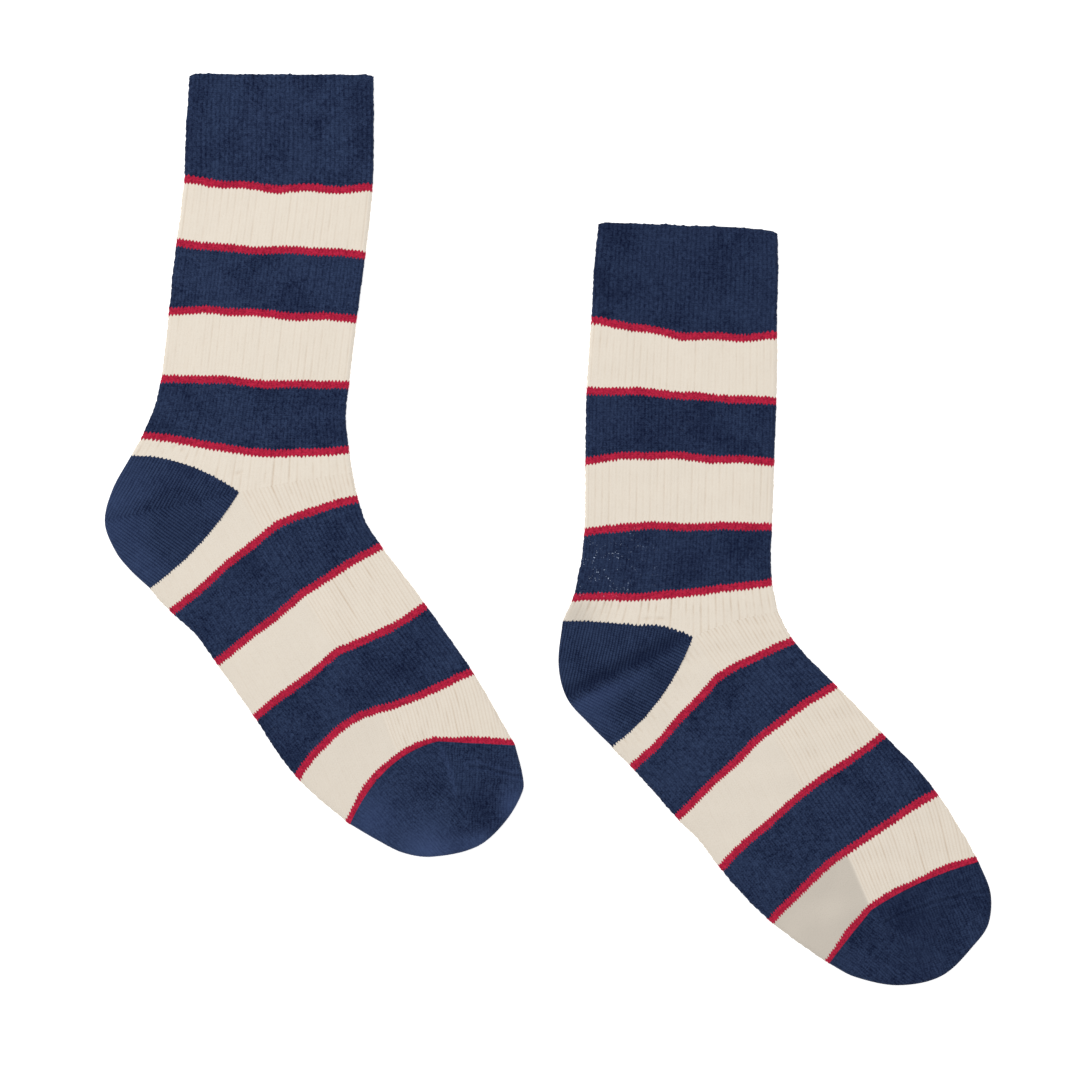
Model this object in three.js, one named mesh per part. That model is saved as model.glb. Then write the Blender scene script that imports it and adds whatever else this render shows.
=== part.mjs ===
// A pair of ribbed crew socks lying flat side by side, legs up the picture and heels to the left.
// Millimetres, +Z up. The cloth rests on z = 0.
// Each sock is a flattened tube in five knitted sections: cuff, leg, heel, foot and toe.

import * as THREE from 'three';

// Cloth
const SLIT = 0.6; // air between the upper and the lower wall of a flat sock
const SEAM_GAP = 0.3; // between two neighbouring sections
const CUFF_RIB_HEIGHT = 0.4;
const LEG_RIB_HEIGHT = 0.45;
const MITRE_DEPTH = 0.5; // soft trough where the two halves of a heel meet
const RIM_ROUNDING = 0.8; // length of the rounded rim at the mouth
const RIM_SQUEEZE = 0.72; // share of the full height that is left at the rim

// Ribs that show across the upper face
const CUFF_RIBS = 42;
const LEG_RIBS = 28;
const INSTEP_RIBS = 14;

// Steps of the solids
const BACK_STEPS = 9; // on a plain face, from the back or sole edge to the split
const FRONT_STEPS = 4; // and from there to the front or instep edge
const FOLD_ANGLES = [90, 45]; // degrees, round a fold, towards its outermost point
const CUFF_SECTIONS = 3;
const LEG_SECTIONS = 9;
const FOOT_SECTIONS = 8;
const HEEL_ROWS = 10;
const HEEL_REACH = [0, 0.2, 0.4, 0.6, 0.8, 0.93]; // stations from the heel's corner to its fold
const TOE_ROWS = 8;
const TIP = 0.5; // of a toe, as a share of its outline
const TOE_LAST_ROW = 0.465; // where the outer fan round the tip begins
const TOE_LAST_INNER_ROW = 0.39;
const TOE_STATIONS = [0, 0.03, 0.1, 0.22, 0.38, 0.56, 0.78]; // from an edge to the split
const OUTLINE_SAMPLES = 80;
const FINITE_STEP = 0.01;

// Colours of the yarn
const NAVY = 0x263148;
const CREAM = 0xe7ded0;

// Courses are lines of knitting from a sock's back or sole edge to its front or instep edge.
// back and front are their ends, from the corner of the heel. split is where rib and plain
// knitting meet, or the middle. The bows are how far the line rises towards the mouth, off its
// chord, halfway to the split, at it, and halfway past it.
const COURSE_COLUMNS = [
  'name', 'backX', 'backY', 'frontX', 'frontY', 'split', 'bowBack', 'bowSplit', 'bowFront', 'wall',
];
const EDGE_COLUMNS = ['x', 'y'];

const SOCK_A = {
  name: 'sock_a',
  place: [-142.19, 17.23],
  leg: table(COURSE_COLUMNS, [
    ['mouth', -23.0, 192.5, 61.5, 192.0, 0.5, 0, 0, 0, 1.8],
    ['cuff middle', -24.5, 166.5, 62.0, 166.0, 0.5, 0, 0, 0, 1.8],
    ['cuff end', -25.0, 145.0, 61.5, 141.5, 0.5, -1.0, -2.0, -1.5, 1.6],
    ['second line', -29.0, 114.5, 58.0, 109.0, 0.5, -0.5, -0.5, 0.5, 1.5],
    ['third line', -32.5, 83.5, 54.0, 79.5, 0.5, 1.0, 0.5, 0.5, 1.5],
    ['fourth line', -36.0, 52.5, 50.5, 49.5, 0.5, 0, -0.5, -0.5, 1.5],
    ['ankle', -39.0, 39.5, 49.0, 35.0, 0.5, -0.5, -2.5, -1.5, 1.5],
    ['fifth line', -44.5, 26.5, 50.5, 20.0, 0.5, -1.5, -4.5, -3.5, 1.6],
    ['heel start', -50.0, 16.5, 52.0, 9.0, 0.5, -2.0, -13.0, -6.0, 1.7],
  ]),
  foot: table(COURSE_COLUMNS, [
    ['heel end', -41.0, -44.5, 52.0, 9.0, 0.537, 6.0, 17.9, 9.4, 1.7],
    ['sixth line', -31.0, -55.5, 54.5, -3.5, 0.55, 4.5, 8.5, 7.0, 1.6],
    ['seventh line', -10.5, -78.5, 65.0, -24.5, 0.54, 1.0, 2.5, 1.5, 1.5],
    ['eighth line', 7.0, -104.0, 86.0, -52.5, 0.52, 2.5, 4.0, 1.0, 1.5],
    ['ninth line', 26.5, -131.5, 107.5, -83.0, 0.58, 9.5, 6.5, 3.0, 1.5],
    ['toe start', 51.0, -153.0, 127.0, -116.5, 0.63, 15.5, 17.0, 8.5, 1.7],
  ]),
  heelEdge: table(EDGE_COLUMNS, [[-58.5, 1.0], [-61.5, -15.0], [-57.5, -26.5]]),
  toeEdge: table(EDGE_COLUMNS, [[62.0, -159.0], [88.0, -167.5], [118.0, -155.5], [130.5, -132.0]]),
};

const SOCK_B = {
  name: 'sock_b',
  place: [66.21, -49.27],
  leg: table(COURSE_COLUMNS, [
    ['mouth', -43.0, 190.5, 39.0, 186.5, 0.5, 0.5, 0.5, 1.0, 1.8],
    ['cuff middle', -45.0, 168.5, 39.5, 166.5, 0.5, 0, 0, 0, 1.8],
    ['cuff end', -46.0, 147.0, 39.0, 140.0, 0.5, -1.5, -3.5, -2.5, 1.6],
    ['second line', -48.5, 112.5, 39.0, 108.5, 0.5, 1.5, 0.5, 0, 1.5],
    ['third line', -49.0, 81.0, 38.0, 80.0, 0.5, 2.5, 2.5, 1.5, 1.5],
    ['fourth line', -49.5, 48.5, 37.0, 50.5, 0.5, 1.5, 1.5, 1.0, 1.5],
    ['ankle', -51.0, 34.0, 36.5, 38.0, 0.5, -0.5, -0.5, 0, 1.5],
    ['fifth line', -54.5, 18.5, 37.0, 25.5, 0.5, -2.0, -2.5, -1.5, 1.6],
    ['heel start', -59.5, 7.0, 39.5, 11.5, 0.6, -3.0, -10.0, -3.5, 1.7],
  ]),
  foot: table(COURSE_COLUMNS, [
    ['heel end', -37.0, -50.5, 39.5, 11.5, 0.616, 3.0, 15.5, 9.2, 1.7],
    ['sixth line', -27.5, -60.5, 46.5, -2.0, 0.58, 3.5, 8.0, 5.5, 1.6],
    ['seventh line', -7.0, -83.5, 66.0, -22.0, 0.54, 2.0, 3.5, 2.5, 1.5],
    ['eighth line', 13.0, -107.0, 88.5, -45.5, 0.56, 2.5, 3.0, 1.5, 1.5],
    ['ninth line', 36.0, -131.0, 113.0, -72.0, 0.51, 4.5, 4.5, 3.0, 1.5],
    ['toe start', 63.0, -150.5, 132.0, -103.5, 0.36, 5.0, 9.5, 7.0, 1.7],
  ]),
  heelEdge: table(EDGE_COLUMNS, [[-61.0, -11.0], [-58.0, -29.0], [-43.5, -43.0]]),
  toeEdge: table(EDGE_COLUMNS, [[73.0, -156.0], [93.5, -160.5], [122.0, -150.5], [137.5, -122.0]]),
};

function table(columns, rows) {
  return rows.map((row) => Object.fromEntries(columns.map((column, k) => [column, row[k]])));
}

// Courses

// The height of a parabola through 0 at the edge, half at s = 0.5 and full at s = 1
function parabola(s, half, full) {
  return s * (4 * half - full) + s * s * (2 * full - 4 * half);
}

// A point of a course at share u of its width
function coursePoint(course, u) {
  const back = new THREE.Vector2(course.backX, course.backY);
  const chord = new THREE.Vector2(course.frontX, course.frontY).sub(back);
  const width = chord.length();
  const towardsMouth = new THREE.Vector2(-chord.y, chord.x).divideScalar(width);
  const rise = u < course.split
    ? parabola(u / course.split, course.bowBack, course.bowSplit)
    : parabola((1 - u) / (1 - course.split), course.bowFront, course.bowSplit);
  return back.addScaledVector(chord, u).addScaledVector(towardsMouth, rise);
}

function courseWidth(course) {
  return Math.hypot(course.frontX - course.backX, course.frontY - course.backY);
}

// The running length of a tube, down its middle, at each of its courses
function runningLengths(courses) {
  const lengths = [0];
  for (let k = 1; k < courses.length; k++) {
    const step = coursePoint(courses[k], courses[k].split)
      .distanceTo(coursePoint(courses[k - 1], courses[k - 1].split));
    lengths.push(lengths[k - 1] + step);
  }
  return lengths;
}

// A smooth curve through values at unevenly spaced lengths
function smoothAlong(lengths, values, at) {
  const last = lengths.length - 1;
  let k = 0;
  while (k < last - 1 && at > lengths[k + 1]) {
    k++;
  }
  const slope = (i) => {
    const low = Math.max(0, i - 1);
    const high = Math.min(last, i + 1);
    return (values[high] - values[low]) / (lengths[high] - lengths[low]);
  };
  const span = lengths[k + 1] - lengths[k];
  const t = (at - lengths[k]) / span;
  const stay = 2 * t ** 3 - 3 * t ** 2 + 1;
  const leave = t ** 3 - 2 * t ** 2 + t;
  const arrive = t ** 3 - t ** 2;
  return stay * values[k] + (1 - stay) * values[k + 1]
    + span * (leave * slope(k) + arrive * slope(k + 1));
}

// The course of a tube at a running length
function courseAt(courses, lengths, at) {
  const course = {};
  for (const column of COURSE_COLUMNS.slice(1)) {
    course[column] = smoothAlong(lengths, courses.map((row) => row[column]), at);
  }
  return course;
}

// A course moved along its tube by a distance that is the same all across it
function placeOnTube(courses, lengths, at, shift) {
  const side = Math.sign(shift) || 1;
  const start = courseAt(courses, lengths, at);
  const beside = courseAt(courses, lengths, at + side * FINITE_STEP);
  return (u) => {
    const point = coursePoint(start, u);
    const step = coursePoint(beside, u).sub(point);
    return point.addScaledVector(step.normalize(), Math.abs(shift));
  };
}

// Cross sections

function plainStations(from, to, steps) {
  const stations = [];
  for (let k = 0; k < steps; k++) {
    stations.push({ along: from + (to - from) * (k + 0.5) / steps, rise: 0 });
  }
  return stations;
}

// Plain stations on both sides of a course's split, with one at the split itself
function splitStations(split, low, high) {
  return [
    ...plainStations(low, split, BACK_STEPS),
    { along: split, rise: 0 },
    ...plainStations(split, high, FRONT_STEPS),
  ];
}

// A furrow and a crest for each rib
function ribStations(from, to, ribs, height) {
  return plainStations(from, to, 2 * ribs)
    .map((station, k) => ({ along: station.along, rise: k % 2 ? height : 0 }));
}

// One ring round a flattened tube: over the upper face from back to front, and back underneath.
// radius is half the height of the ring's surface, and half that of the outer one.
function tubeRing(place, width, half, radius, upper, lower, squeeze) {
  const ring = [];
  const add = (share, height, turn) => {
    const point = place(share);
    const z = half + squeeze * height;
    const along = turn > 0 ? share : 2 - share;
    ring.push({ position: new THREE.Vector3(point.x, point.y, z), along });
  };
  const fold = (degrees, atFront, turn) => {
    const angle = THREE.MathUtils.degToRad(degrees);
    const inset = (half - radius * Math.cos(angle)) / width;
    add(atFront ? 1 - inset : inset, turn * radius * Math.sin(angle), turn);
  };
  const outwards = FOLD_ANGLES;
  const inwards = [...FOLD_ANGLES].reverse();
  fold(0, false, 1);
  inwards.forEach((degrees) => fold(degrees, false, 1));
  upper.forEach((station) => add(station.along, radius + station.rise, 1));
  outwards.forEach((degrees) => fold(degrees, true, 1));
  fold(0, true, 1);
  inwards.forEach((degrees) => fold(degrees, true, -1));
  [...lower].reverse().forEach((station) => add(station.along, -radius, -1));
  outwards.forEach((degrees) => fold(degrees, false, -1));
  return ring;
}

// Solids

class Shell {
  constructor() {
    this.points = [];
    this.triangles = [];
  }

  addPoint(position) {
    this.points.push(position);
    return this.points.length - 1;
  }

  addRing(ring) {
    return ring.map((item) => ({ index: this.addPoint(item.position), along: item.along }));
  }

  triangle(a, b, c, flip) {
    if (a !== b && b !== c && c !== a) {
      this.triangles.push(flip ? [a, c, b] : [a, b, c]);
    }
  }

  quad(a, b, c, d, flip) {
    this.triangle(a, b, d, flip);
    this.triangle(b, c, d, flip);
  }

  bridge(first, second, flip) {
    first.forEach((item, k) => {
      const next = (k + 1) % first.length;
      this.quad(item.index, first[next].index, second[next].index, second[k].index, flip);
    });
  }

  fan(ring, tip, flip) {
    ring.forEach((item, k) => {
      this.triangle(item.index, ring[(k + 1) % ring.length].index, tip, flip);
    });
  }

  // The end face between an outer and an inner ring, which may differ in count
  rim(outer, inner, flip) {
    const reach = (ring, k) => (k < ring.length ? ring[k].along : 2);
    const index = (ring, k) => ring[k % ring.length].index;
    let i = 0;
    let j = 0;
    while (i < outer.length || j < inner.length) {
      const outerNext = i < outer.length ? reach(outer, i + 1) : Infinity;
      const innerNext = j < inner.length ? reach(inner, j + 1) : Infinity;
      if (outerNext <= innerNext) {
        this.triangle(index(outer, i + 1), index(outer, i), index(inner, j), flip);
        i++;
      } else {
        this.triangle(index(outer, i), index(inner, j), index(inner, j + 1), flip);
        j++;
      }
    }
  }

  signedVolume() {
    return this.triangles.reduce((sum, [a, b, c]) => {
      const normal = new THREE.Vector3().crossVectors(this.points[b], this.points[c]);
      return sum + this.points[a].dot(normal) / 6;
    }, 0);
  }

  mesh(name, colour) {
    const inwards = this.signedVolume() < 0;
    const order = this.triangles.flatMap(([a, b, c]) => (inwards ? [a, c, b] : [a, b, c]));
    const geometry = new THREE.BufferGeometry().setFromPoints(this.points);
    geometry.setIndex(order);
    geometry.computeVertexNormals();
    const material = new THREE.MeshStandardMaterial({ color: colour, roughness: 0.95, metalness: 0 });
    const mesh = new THREE.Mesh(geometry, material);
    mesh.name = name;
    return mesh;
  }
}

// A knitted tube from one of its courses to another. upperStations gives the stations across
// the upper face of a course, and rim says whether the tube starts in the sock's mouth.
function tubeSection({ name, colour, courses, from, to, sections, upperStations, rim }) {
  const lengths = runningLengths(courses);
  const shell = new Shell();
  const outers = [];
  const inners = [];
  const addSection = (at, shift, squeeze) => {
    const course = courseAt(courses, lengths, at);
    const half = course.wall + SLIT / 2;
    const width = courseWidth(course);
    const place = placeOnTube(courses, lengths, at, shift);
    const low = half / width;
    const upper = upperStations(course, low, 1 - low);
    const lower = splitStations(course.split, low, 1 - low);
    outers.push(shell.addRing(tubeRing(place, width, half, half, upper, lower, squeeze)));
    inners.push(shell.addRing(tubeRing(place, width, half, SLIT / 2, lower, lower, 1)));
  };
  const start = lengths[from];
  const end = lengths[to];
  addSection(start, rim ? 0 : SEAM_GAP / 2, rim ? RIM_SQUEEZE : 1);
  if (rim) {
    addSection(start + RIM_ROUNDING, 0, 1);
  }
  for (let k = 1; k < sections; k++) {
    addSection(start + (end - start) * k / sections, 0, 1);
  }
  addSection(end, -SEAM_GAP / 2, 1);
  for (let k = 1; k < outers.length; k++) {
    shell.bridge(outers[k - 1], outers[k], false);
    shell.bridge(inners[k - 1], inners[k], true);
  }
  shell.rim(outers[0], inners[0], false);
  shell.rim(outers[outers.length - 1], inners[inners.length - 1], true);
  return shell.mesh(name, colour);
}

function cuff(sock) {
  return tubeSection({
    name: `${sock.name}_cuff`,
    colour: NAVY,
    courses: sock.leg,
    from: 0,
    to: 2,
    sections: CUFF_SECTIONS,
    upperStations: (course, low, high) => ribStations(low, high, CUFF_RIBS, CUFF_RIB_HEIGHT),
    rim: true,
  });
}

function leg(sock) {
  return tubeSection({
    name: `${sock.name}_leg`,
    colour: CREAM,
    courses: sock.leg,
    from: 2,
    to: sock.leg.length - 1,
    sections: LEG_SECTIONS,
    upperStations: (course, low, high) => ribStations(low, high, LEG_RIBS, LEG_RIB_HEIGHT),
    rim: false,
  });
}

function foot(sock) {
  return tubeSection({
    name: `${sock.name}_foot`,
    colour: CREAM,
    courses: sock.foot,
    from: 0,
    to: sock.foot.length - 1,
    sections: FOOT_SECTIONS,
    upperStations: (course, low, high) => [
      ...plainStations(low, course.split, BACK_STEPS),
      { along: course.split, rise: 0 },
      ...ribStations(course.split, high, INSTEP_RIBS, LEG_RIB_HEIGHT),
    ],
    rim: false,
  });
}

// Heel

// The edge of a heel along its neighbour's last course, from the corner (w = 0) to the fold
// (w = 1), drawn back by half the seam gap
function heelBoundary(course, corner, inwards) {
  return (w) => {
    if (w === 0) {
      return corner.clone();
    }
    const point = coursePoint(course, course.split * (1 - w));
    const beside = coursePoint(course, course.split * (1 - w + FINITE_STEP));
    const along = point.clone().sub(beside).normalize();
    const normal = new THREE.Vector2(-along.y, along.x);
    if (normal.dot(inwards) < 0) {
      normal.negate();
    }
    return point.addScaledVector(normal, SEAM_GAP / 2);
  };
}

// The plan of a heel pocket: v runs from the leg's side to the foot's, w from corner to fold
function heelPlan(sock) {
  const upperCourse = sock.leg[sock.leg.length - 1];
  const lowerCourse = sock.foot[0];
  const farPoints = sock.heelEdge.map((point) => new THREE.Vector2(point.x, point.y));
  const middle = farPoints[1];
  const corner = coursePoint(upperCourse, upperCourse.split)
    .addScaledVector(middle.clone().normalize(), SEAM_GAP);
  const upper = heelBoundary(upperCourse, corner, middle.clone().sub(coursePoint(upperCourse, 0)));
  const lower = heelBoundary(lowerCourse, corner, middle.clone().sub(coursePoint(lowerCourse, 0)));
  const fold = new THREE.SplineCurve([upper(1), ...farPoints, lower(1)]);
  const bulge = (edge, w) => edge(w).sub(corner.clone().lerp(edge(1), w));
  return (v, w) => corner.clone().lerp(fold.getPointAt(v), w)
    .addScaledVector(bulge(upper, w), (1 - v) ** 2)
    .addScaledVector(bulge(lower, w), v ** 2);
}

function heel(sock) {
  const plan = heelPlan(sock);
  const course = sock.foot[0];
  const half = course.wall + SLIT / 2;
  const shell = new Shell();
  const hairpin = (v, radius, trough) => {
    const reach = plan(v, 1).distanceTo(plan(v, 0));
    const stations = [];
    HEEL_REACH.forEach((w) => {
      stations.push({ w, height: radius, sink: trough * Math.sin(Math.PI * w) });
    });
    FOLD_ANGLES.concat(0).forEach((degrees) => {
      const angle = THREE.MathUtils.degToRad(degrees);
      const inset = half - radius * Math.cos(angle);
      stations.push({ w: 1 - inset / reach, height: radius * Math.sin(angle), sink: 0 });
    });
    const underneath = stations.slice(0, -1).reverse()
      .map((station) => ({ w: station.w, height: -station.height, sink: 0 }));
    return stations.concat(underneath).map((station) => {
      const point = plan(v, station.w);
      return new THREE.Vector3(point.x, point.y, half + station.height - station.sink);
    });
  };
  const addRows = (radius, depth) => {
    const rows = [];
    for (let k = 0; k <= HEEL_ROWS; k++) {
      const trough = k === HEEL_ROWS / 2 ? depth : 0;
      const path = hairpin(k / HEEL_ROWS, radius, trough);
      const last = path.length - 1;
      rows.push(path.map((position, i) => (
        k > 0 && (i === 0 || i === last) ? rows[0][i] : shell.addPoint(position)
      )));
    }
    return rows;
  };
  const outer = addRows(half, MITRE_DEPTH);
  const inner = addRows(SLIT / 2, 0);
  const steps = outer[0].length - 1;
  for (let i = 0; i < steps; i++) {
    for (let k = 0; k < HEEL_ROWS; k++) {
      shell.quad(outer[k][i], outer[k + 1][i], outer[k + 1][i + 1], outer[k][i + 1], false);
      shell.quad(inner[k][i], inner[k + 1][i], inner[k + 1][i + 1], inner[k][i + 1], true);
    }
    shell.quad(outer[0][i], outer[0][i + 1], inner[0][i + 1], inner[0][i], false);
    shell.quad(outer[HEEL_ROWS][i], outer[HEEL_ROWS][i + 1],
      inner[HEEL_ROWS][i + 1], inner[HEEL_ROWS][i], true);
  }
  return shell.mesh(`${sock.name}_heel`, NAVY);
}

// Toe

// The outline of a toe from the sole edge round the tip to the instep edge, drawn back from
// the foot by half the seam gap
function toeOutline(sock) {
  const start = sock.foot[sock.foot.length - 1];
  const back = coursePoint(start, 0);
  const front = coursePoint(start, 1);
  const chord = front.clone().sub(back).normalize();
  const tipwards = new THREE.Vector2(chord.y, -chord.x);
  const gap = tipwards.clone().multiplyScalar(SEAM_GAP / 2);
  const points = [back, ...sock.toeEdge.map((point) => new THREE.Vector2(point.x, point.y)), front];
  points[0].add(gap);
  points[points.length - 1].add(gap);
  return new THREE.SplineCurve(points);
}

function toe(sock) {
  const start = sock.foot[sock.foot.length - 1];
  const outline = toeOutline(sock);
  const edge = outline.getSpacedPoints(OUTLINE_SAMPLES);
  const half = start.wall + SLIT / 2;
  const edgeDistance = (point) => {
    let nearest = Infinity;
    for (let k = 0; k < OUTLINE_SAMPLES; k++) {
      const along = edge[k + 1].clone().sub(edge[k]);
      const from = point.clone().sub(edge[k]);
      const share = THREE.MathUtils.clamp(from.dot(along) / along.lengthSq(), 0, 1);
      nearest = Math.min(nearest, from.addScaledVector(along, -share).length());
    }
    return nearest;
  };
  const insetPoint = (share, inset) => {
    const tangent = outline.getTangentAt(share);
    const inwards = new THREE.Vector2(-tangent.y, tangent.x);
    return outline.getPointAt(share).addScaledVector(inwards, inset);
  };
  const rowPoint = (share, u) => {
    const back = outline.getPointAt(share);
    const front = outline.getPointAt(1 - share);
    const fade = 1 - share / TIP;
    const row = {
      backX: back.x,
      backY: back.y,
      frontX: front.x,
      frontY: front.y,
      split: start.split,
      bowBack: start.bowBack * fade,
      bowSplit: start.bowSplit * fade,
      bowFront: start.bowFront * fade,
    };
    return coursePoint(row, u);
  };
  // Where a row is one wall inside the outline, from the edge that edgeShare gives
  const insideFrom = (share, edgeShare) => {
    let u = edgeShare;
    while (edgeDistance(rowPoint(share, u)) < start.wall) {
      u += (start.split - edgeShare) * FINITE_STEP / 2;
    }
    return u;
  };
  const heightAt = (point, radius) => {
    const short = Math.max(0, half - edgeDistance(point));
    return Math.sqrt(Math.max(0, radius ** 2 - short ** 2));
  };
  const shell = new Shell();
  const stations = [
    ...TOE_STATIONS.map((part) => part * start.split),
    start.split,
    ...[...TOE_STATIONS].reverse().map((part) => 1 - part * (1 - start.split)),
  ];
  const addRow = (share, radius) => {
    const isOuter = radius === half;
    const low = isOuter ? 0 : insideFrom(share, 0);
    const high = isOuter ? 1 : insideFrom(share, 1);
    const within = (u) => (u < start.split
      ? low + (start.split - low) * u / start.split
      : high - (high - start.split) * (1 - u) / (1 - start.split));
    const upper = stations.map((u) => {
      const point = rowPoint(share, within(u));
      const rise = u === 0 || u === 1 ? 0 : heightAt(point, radius);
      return { u, point, rise };
    });
    const lower = upper.slice(1, -1).reverse();
    const ring = upper.map(({ u, point, rise }) => ({
      position: new THREE.Vector3(point.x, point.y, half + rise),
      along: u,
    }));
    return shell.addRing(ring.concat(lower.map(({ u, point, rise }) => ({
      position: new THREE.Vector3(point.x, point.y, half - rise),
      along: 2 - u,
    }))));
  };
  const outers = [];
  const inners = [];
  for (let k = 0; k <= TOE_ROWS; k++) {
    outers.push(addRow(TOE_LAST_ROW * k / TOE_ROWS, half));
    inners.push(addRow(TOE_LAST_INNER_ROW * k / TOE_ROWS, SLIT / 2));
  }
  for (let k = 1; k <= TOE_ROWS; k++) {
    shell.bridge(outers[k - 1], outers[k], false);
    shell.bridge(inners[k - 1], inners[k], true);
  }
  const tip = (inset) => {
    const point = insetPoint(TIP, inset);
    return shell.addPoint(new THREE.Vector3(point.x, point.y, half));
  };
  shell.fan(outers[TOE_ROWS], tip(0), false);
  shell.fan(inners[TOE_ROWS], tip(start.wall), true);
  shell.rim(outers[0], inners[0], false);
  return shell.mesh(`${sock.name}_toe`, NAVY);
}

// The pair

function sockGroup(sock) {
  const group = new THREE.Group();
  group.name = sock.name;
  group.add(cuff(sock), leg(sock), heel(sock), foot(sock), toe(sock));
  group.position.set(sock.place[0], sock.place[1], 0);
  return group;
}

const pair = new THREE.Group();
pair.name = 'pair_of_socks';
pair.add(sockGroup(SOCK_A), sockGroup(SOCK_B));

export default pair;
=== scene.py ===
import math

import bpy
import numpy as np
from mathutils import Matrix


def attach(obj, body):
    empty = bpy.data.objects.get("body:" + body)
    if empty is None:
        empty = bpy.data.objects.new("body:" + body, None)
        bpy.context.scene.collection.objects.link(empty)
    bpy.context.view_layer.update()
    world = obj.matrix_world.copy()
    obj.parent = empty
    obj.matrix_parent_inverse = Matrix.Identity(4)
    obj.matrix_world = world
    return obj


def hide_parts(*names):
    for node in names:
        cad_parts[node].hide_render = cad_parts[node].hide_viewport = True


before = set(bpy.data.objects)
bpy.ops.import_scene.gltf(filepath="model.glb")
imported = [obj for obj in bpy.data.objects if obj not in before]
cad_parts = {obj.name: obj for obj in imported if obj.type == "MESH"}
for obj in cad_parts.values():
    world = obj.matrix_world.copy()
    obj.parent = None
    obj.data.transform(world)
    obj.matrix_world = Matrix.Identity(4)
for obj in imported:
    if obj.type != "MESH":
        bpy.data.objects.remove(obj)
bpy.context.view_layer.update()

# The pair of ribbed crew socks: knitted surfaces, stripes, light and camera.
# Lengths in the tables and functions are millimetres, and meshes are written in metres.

MM = 0.001

# Cloth
SLIT = 0.6
RIM_ROUNDING = 1.2
RIM_SQUEEZE = 0.55
MOUTH_CORNER_DROP = 1.0
EDGE_FUZZ = 0.14
SEAM_LAP = 0.2
WALES_PER_PUCKER = 2.2
PUCKER_DEPTH = 0.12
CREASE_WIDTH = 0.7
CREASE_DEPTH = 0.35
EDGE_SWELL = 0.1
EDGE_REACH = 4.0
LEG_FURROW = 0.17
CUFF_FURROW = 0.11
FAINT_LEG_FURROW = 0.05
FAINT_FOOT_FURROW = 0.3
WALE_GROOVE = 0.05
UNDERSIDE_SHARE = 0.45
SOLE_WALE = 1.29
POCKET_WALE = 1.38
WALE_AIM = 0.35
COURSE_HEIGHT = 1.0
LINE_HALF_WIDTH = 1.75
LINE_REACH = 4.0
LINE_WANDER = 0.35
BAND_STEP = 10.0
CUFF_LINE_SHARE = 0.6
LINT_EVERYWHERE = 0.03
LINT_ON_POCKETS = 0.02
CREASE_SEED = 91
PUCKER_SEED = 83
SOLE_SEED = 77
WANDER_SEED = 11
FUZZ_SEED = 5

# Steps of the meshes
ROW_STEP = 0.8
INNER_ROW_STEP = 6.0
INNER_STATIONS_PER_UNIT = 2
HEEL_ROWS = 130
HEEL_STEPS = 78
HEEL_DEPTH = 55.0
TOE_ROWS = 84
TOE_STEPS = 150
TOE_LAST_SHARE = 0.485
TOE_INNER_ROWS = 14
TOE_INNER_STEPS = 30
TOE_INNER_LAST_SHARE = 0.39
TOE_OUTLINE_POINTS = 401
FOLD_STEPS = 7

# A ring is measured in units of one leg rib, from the line where rib and plain knitting meet
UNITS_ROUND = 56
CUFF_RIBS_PER_UNIT = 1.5

# Camera and light
VIEW_CENTRE = (-3.71, -4.86)
VIEW_WIDTH = 496.8
LENS = 85.0
SENSOR = 36.0
CLOTH_TOP = 3.6
FLOOR_GLOW = 0.45
FLOOR_GAP = 0.02
FLOOR_HALF_SIZE = 3.0
SKY_STRENGTH = 0.88
KEY_PLACE = (-0.8, 1.1, 1.9)
KEY_SIZE = 1.6
KEY_POWER = 26.0
KEY_COLOUR = (1.0, 0.995, 0.985)

# A course is one row of knitting across the flat tube, from its back edge to its front edge.
# Its places are from the sock's heel corner, which the sock's own place puts on the floor.
# The bows are how far it rises off the straight line between them, half way along each side and
# at the split. The foot's edges and the toe's follow the photo a little more closely than the solids do.
COURSE_COLUMNS = (
    "back_x", "back_y", "front_x", "front_y", "split", "bow_back", "bow_split", "bow_front", "wall",
)
SPLIT = COURSE_COLUMNS.index("split")
WALL = COURSE_COLUMNS.index("wall")

# Besides its place and its courses, a sock has
# pucker: how strongly the cloth gathers round the heel
# ribs_past_corner: how many ribs of the leg run past the heel's corner
# rib_edge: the share across each foot course where the sole ends and the ribs start
# line_wander: how far a red line strays, by its number
# grey_bands: how grey the sole's yarn is, by the red line that the band starts at
# shade: how much paler or darker the navy of each part is
# fold: how deep the heel's mitre is folded, and how strong the painted shade in its valley and the painted
# highlight on its ridge are
# creases: x and y of one end, then of the other
# heel_rise: where across the leg the heel's top edge is knitted up, how wide, and how far
# leg_grey, heel_pale, lint and toe_pale: x, y, reach and strength of each soft patch. The heel's and toe's
# patches are painted highlight where the strength is above 0 and painted shade where it is below
# heel_edge, toe_edge, toe_seam and toe_gore: x and y along each line

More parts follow.
